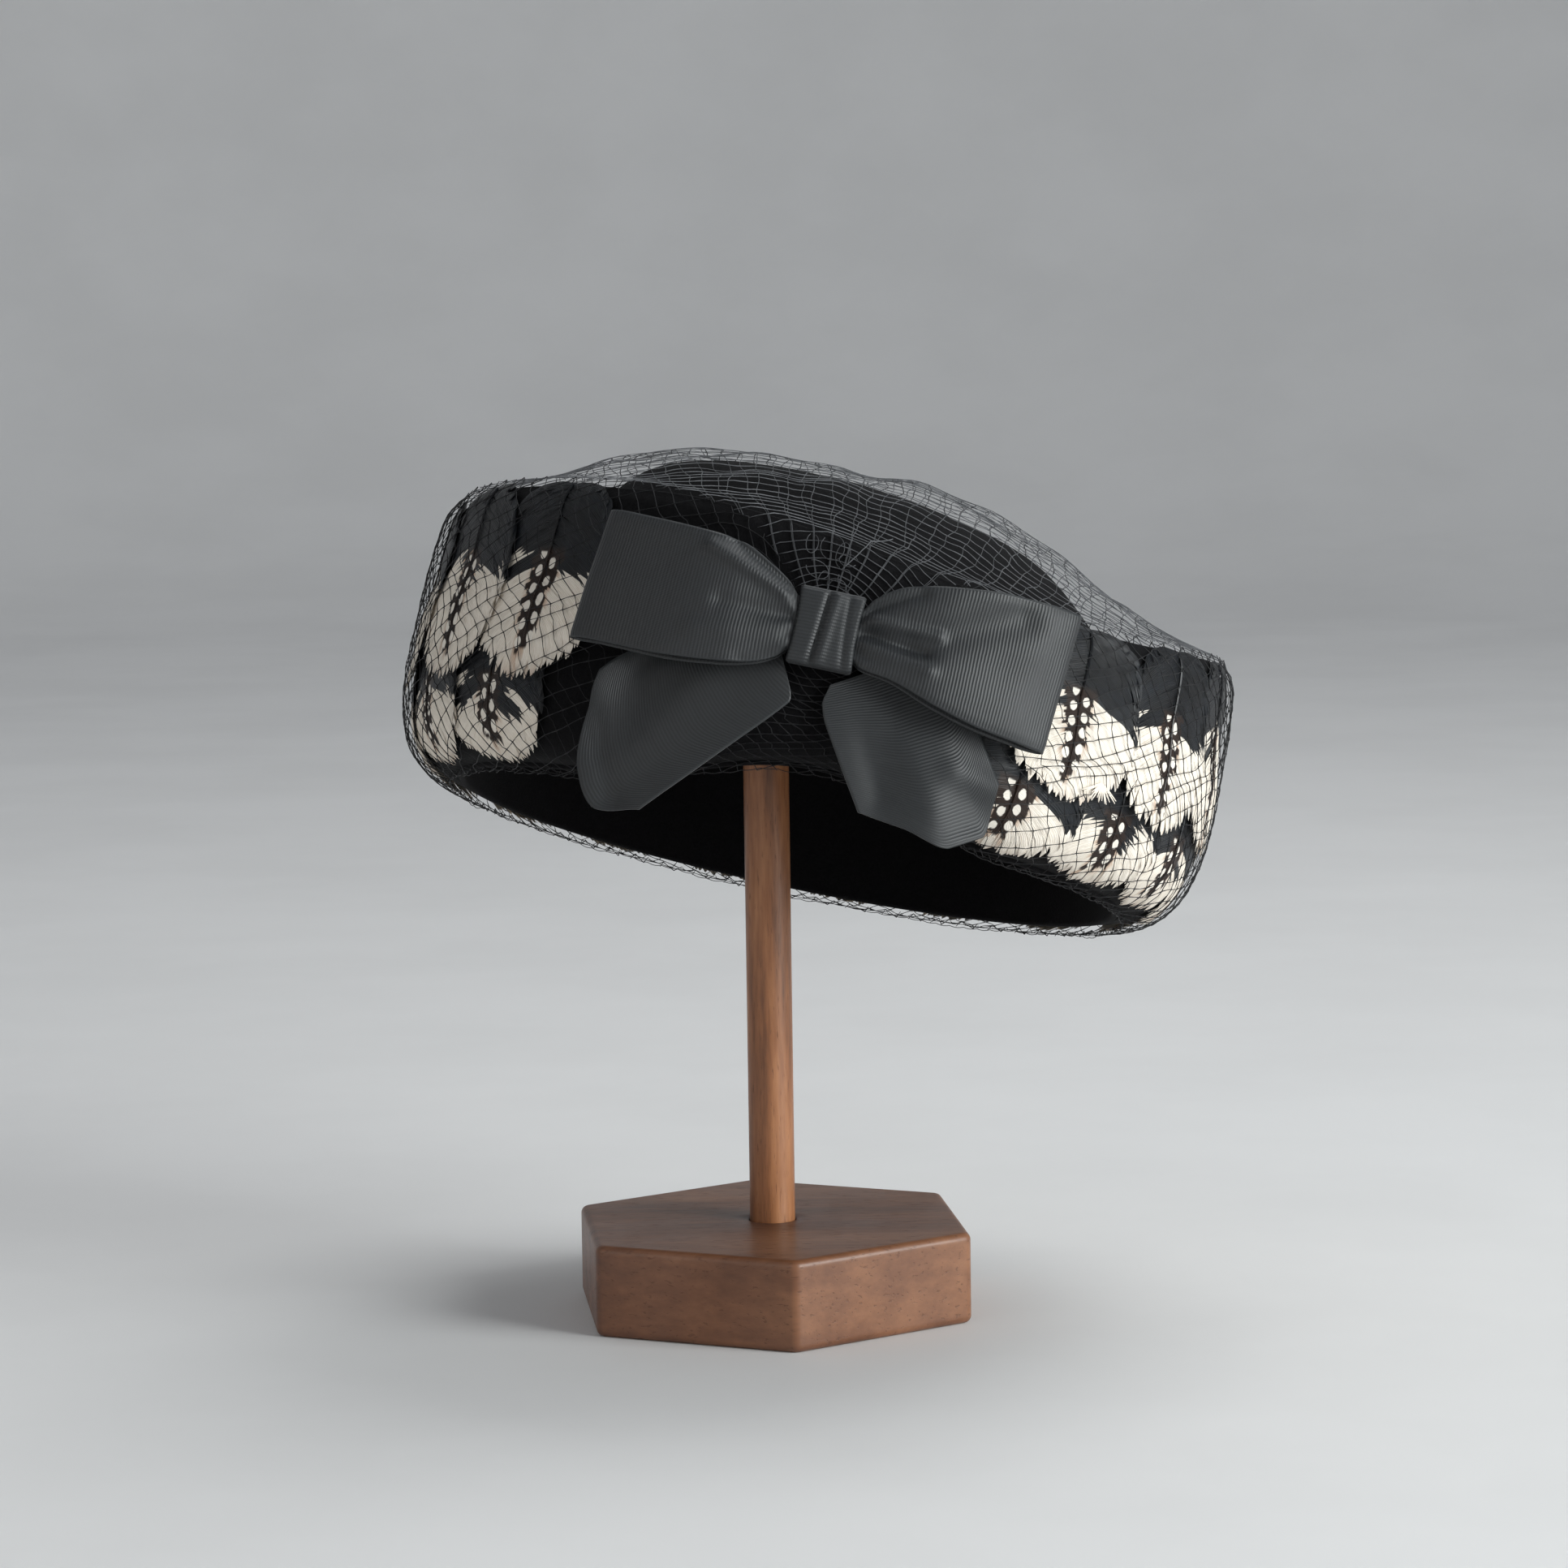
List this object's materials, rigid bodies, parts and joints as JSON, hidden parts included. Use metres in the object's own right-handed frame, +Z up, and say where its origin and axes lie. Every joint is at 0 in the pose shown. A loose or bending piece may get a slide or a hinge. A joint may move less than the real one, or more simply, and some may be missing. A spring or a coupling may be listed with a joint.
{
  "type": "pillbox hat on a stand",
  "caption": "Felt pillbox hat with a turned-up feathered cuff, a net veil and a ribbon bow, leaning on a wooden post with a hexagonal base.",
  "frame": {"origin": "middle of the underside of the stand's base", "axes": "+Z up along the post, the bow and the front of the hat towards -Y, +X to the viewer's right"},
  "size_m": [0.2209, 0.2243, 0.2314],
  "materials": {
    "felt": "black wool felt, matt",
    "plumage": "feathers, black above and cream below, with a dark dotted middle",
    "net": "fine black hat net",
    "ribbon": "charcoal grosgrain ribbon, ribbed across",
    "wood": "stained wood under a satin varnish"
  },
  "bodies": {
    "root": {"stand_base": "wood", "stand_post": "wood", "stand_rest": "wood", "crown": "felt", "cuff": "felt", "veil": "net", "upper_feather_01": "plumage", "upper_feather_02": "plumage", "upper_feather_03": "plumage", "upper_feather_04": "plumage", "upper_feather_05": "plumage", "upper_feather_06": "plumage", "upper_feather_07": "plumage", "upper_feather_08": "plumage", "upper_feather_09": "plumage", "upper_feather_10": "plumage", "upper_feather_11": "plumage", "upper_feather_12": "plumage", "upper_feather_13": "plumage", "upper_feather_14": "plumage", "upper_feather_15": "plumage", "lower_feather_01": "plumage", "lower_feather_02": "plumage", "lower_feather_03": "plumage", "lower_feather_04": "plumage", "lower_feather_05": "plumage", "lower_feather_06": "plumage", "lower_feather_07": "plumage", "lower_feather_08": "plumage", "lower_feather_09": "plumage", "lower_feather_10": "plumage", "lower_feather_11": "plumage", "lower_feather_12": "plumage", "lower_feather_13": "plumage", "lower_feather_14": "plumage", "lower_feather_15": "plumage", "bow_loop_left": "ribbon", "bow_loop_right": "ribbon", "bow_knot": "ribbon", "bow_tail_left": "ribbon", "bow_tail_right": "ribbon"}
  },
  "joints": []
}
